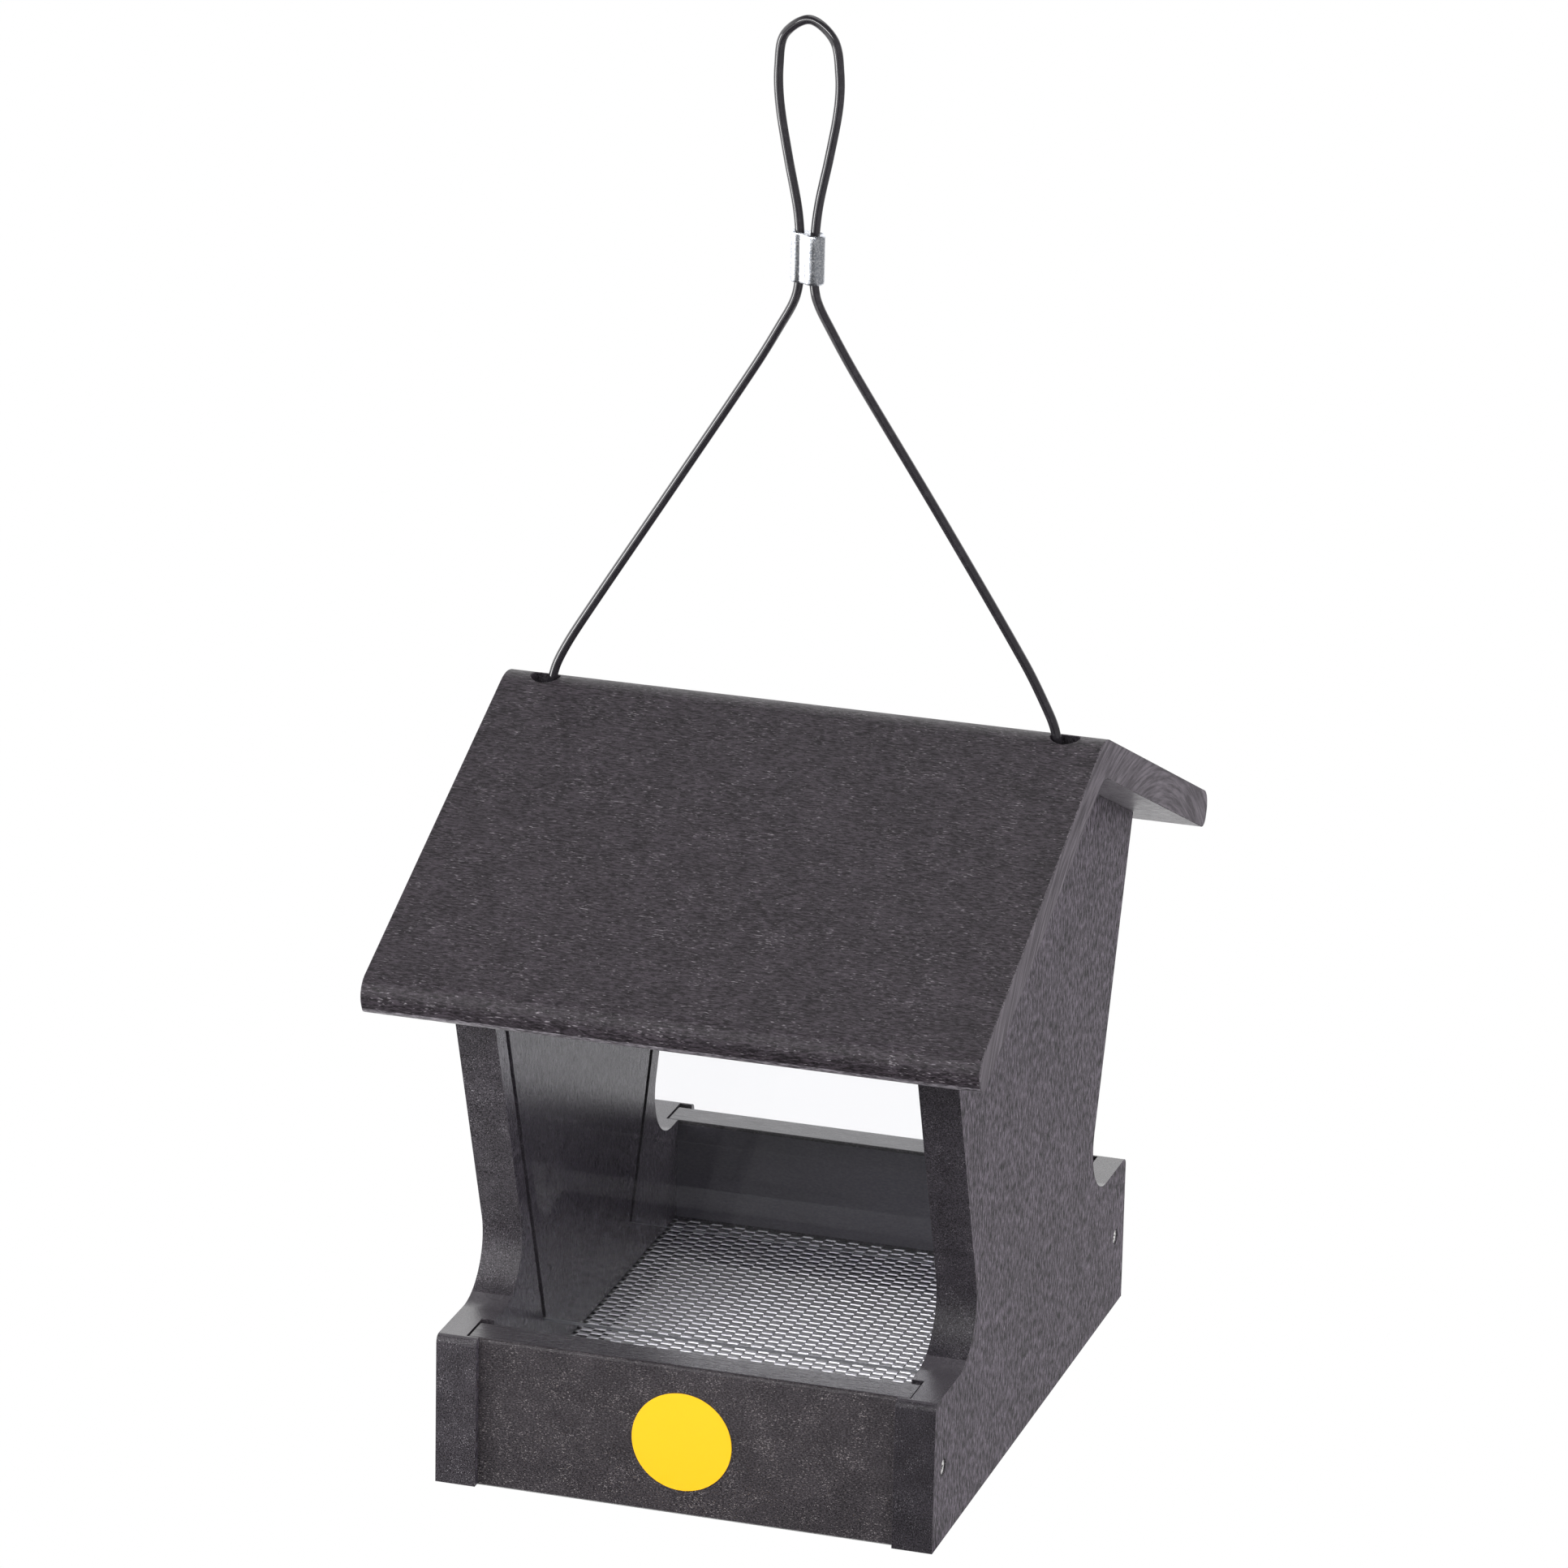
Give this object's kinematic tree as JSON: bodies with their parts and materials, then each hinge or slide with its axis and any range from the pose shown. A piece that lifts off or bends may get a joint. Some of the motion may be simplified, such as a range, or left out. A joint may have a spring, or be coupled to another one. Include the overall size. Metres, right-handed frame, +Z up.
{
  "type": "hopper bird feeder",
  "caption": "Hanging hopper bird feeder: board sides, a trough at the front and back, clear slanted panes, a mesh floor and a peaked roof that slides up its cable.",
  "frame": {"origin": "middle of the base, on the plane that the side panels and rails stand on", "axes": "+X along the ridge from the left to the right side panel, -Y towards the trough with the label, +Z up"},
  "size_m": [0.2386, 0.3234, 0.5492],
  "materials": {
    "board": "charcoal board with a fine speckle, planed faces and sawn edges",
    "clear_sheet": "clear polished sheet with frosted sawn edges",
    "expanded_metal": "bright mill finish",
    "screw_steel": "bright stainless",
    "cable_coat": "smooth glossy black coating",
    "crimp_metal": "bright, pressed",
    "label_film": "smooth yellow film"
  },
  "bodies": {
    "feeder": {"side_panel_left": "board", "side_panel_right": "board", "front_rail": "board", "back_rail": "board", "front_pane": "clear_sheet", "back_pane": "clear_sheet", "mesh_floor": "expanded_metal", "screw_front_left": "screw_steel", "screw_front_right": "screw_steel", "screw_back_left": "screw_steel", "screw_back_right": "screw_steel", "hanger_cable": "cable_coat", "cable_sleeve": "crimp_metal", "cable_stop_left": "crimp_metal", "cable_stop_right": "crimp_metal", "label_disc": "label_film"},
    "roof_body": {"roof": "board"}
  },
  "joints": [
    {"name": "roof_lift", "type": "slide", "parent": "feeder", "child": "roof_body", "axis": [0, 0, 1], "range_m": [0, 0.06], "deforming": ["hanger_cable"]}
  ]
}
